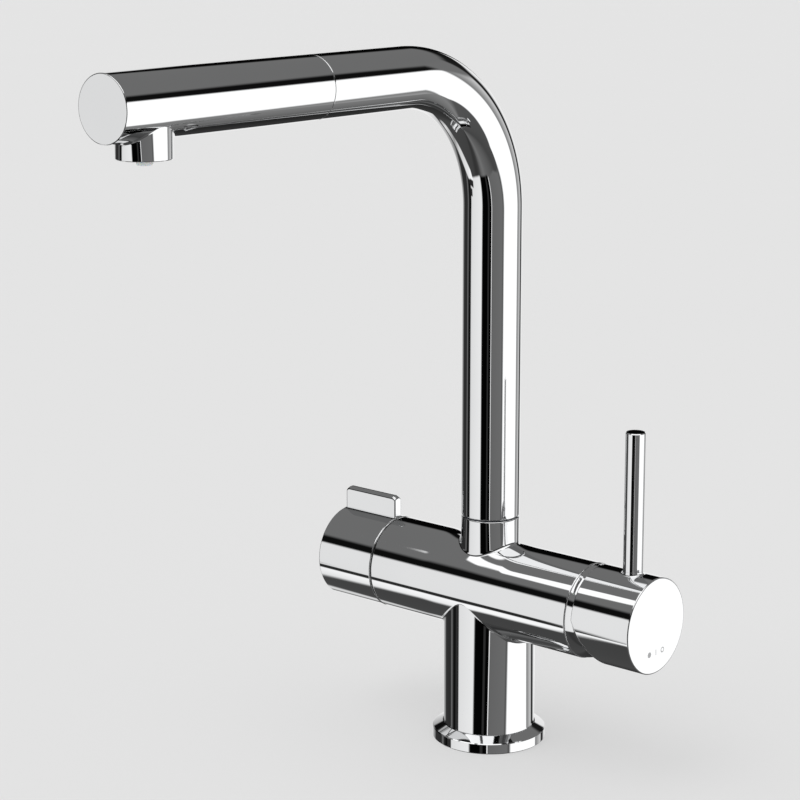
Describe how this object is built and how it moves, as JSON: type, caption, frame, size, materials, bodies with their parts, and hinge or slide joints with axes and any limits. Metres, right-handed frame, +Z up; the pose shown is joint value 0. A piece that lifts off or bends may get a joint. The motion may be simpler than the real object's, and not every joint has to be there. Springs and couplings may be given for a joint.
{
  "type": "kitchen mixer tap",
  "caption": "Kitchen mixer tap: cross barrel on a short column, side lever with a rod, quarter-turn filter knob with a fin, and a tall L-shaped swivel spout.",
  "frame": {"origin": "centre of the base's underside on the worktop, under the spout's swivel axis", "axes": "+Z up along the swivel axis; the spout points to -Y; the mixer handle is at +X and the filter knob at -X"},
  "size_m": [0.1887, 0.2699, 0.3393],
  "materials": {
    "chrome": "mirror chrome plating on brass",
    "brass": "turned, unplated",
    "steel": "stainless, plain",
    "black_rubber": "matt nitrile rubber",
    "white_nylon": "moulded, matt",
    "dark_acetal": "moulded, matt",
    "alumina": "lapped ceramic",
    "clear_silicone": "milky translucent silicone"
  },
  "bodies": {
    "body": {"tap_body": "chrome", "base_ring": "chrome", "base_seal": "black_rubber", "cartridge_base": "white_nylon", "cartridge_seals": "black_rubber", "cartridge_housing": "white_nylon", "fixed_disc": "alumina", "cartridge_nut": "brass", "ball_cap": "chrome", "headwork_body": "brass", "headwork_seal": "black_rubber", "valve_fixed_disc": "alumina", "swivel_glide_ring": "dark_acetal", "swivel_snap_ring": "steel", "inner_tube_o_ring": "black_rubber"},
    "rotor": {"cartridge_rotor": "dark_acetal", "lever_pivot_pin": "steel"},
    "lever": {"cartridge_lever": "steel", "mixer_handle": "chrome", "handle_grub_screw": "steel", "lever_rod": "chrome"},
    "disc": {"moving_disc": "alumina", "disc_carrier": "dark_acetal"},
    "filter_handle": {"filter_knob": "chrome", "valve_moving_disc": "alumina", "valve_spindle": "brass", "knob_grub_screw": "steel"},
    "spout": {"spout_tube": "chrome", "swivel_spigot": "brass", "swivel_o_rings": "black_rubber", "spout_end": "chrome", "spout_end_o_ring": "black_rubber", "inner_water_tube": "clear_silicone", "aerator_housing": "white_nylon", "aerator_screen": "steel", "aerator_seal": "black_rubber", "filtered_outlet": "clear_silicone"}
  },
  "joints": [
    {"name": "spout_swivel", "type": "hinge", "parent": "body", "child": "spout", "pos_m": [0, 0, 0.1], "axis": [0, 0, 1], "range_deg": [-150, 150]},
    {"name": "temperature", "type": "hinge", "parent": "body", "child": "rotor", "pos_m": [0.0588, 0, 0.07645], "axis": [1, 0, 0], "range_deg": [-50, 50]},
    {"name": "flow", "type": "hinge", "parent": "rotor", "child": "lever", "pos_m": [0.0588, 0, 0.07645], "axis": [0, 1, 0], "range_deg": [0, 25]},
    {"name": "disc_slide", "type": "slide", "parent": "rotor", "child": "disc", "axis": [0, 0, 1], "range_m": [0, 0.0059]},
    {"name": "filter_turn", "type": "hinge", "parent": "body", "child": "filter_handle", "pos_m": [-0.0577, 0, 0.07645], "axis": [1, 0, 0], "range_deg": [0, 90]}
  ],
  "couplings": [
    {"joint": "disc_slide", "follows": "flow", "m_per_rad": 0.013366}
  ]
}
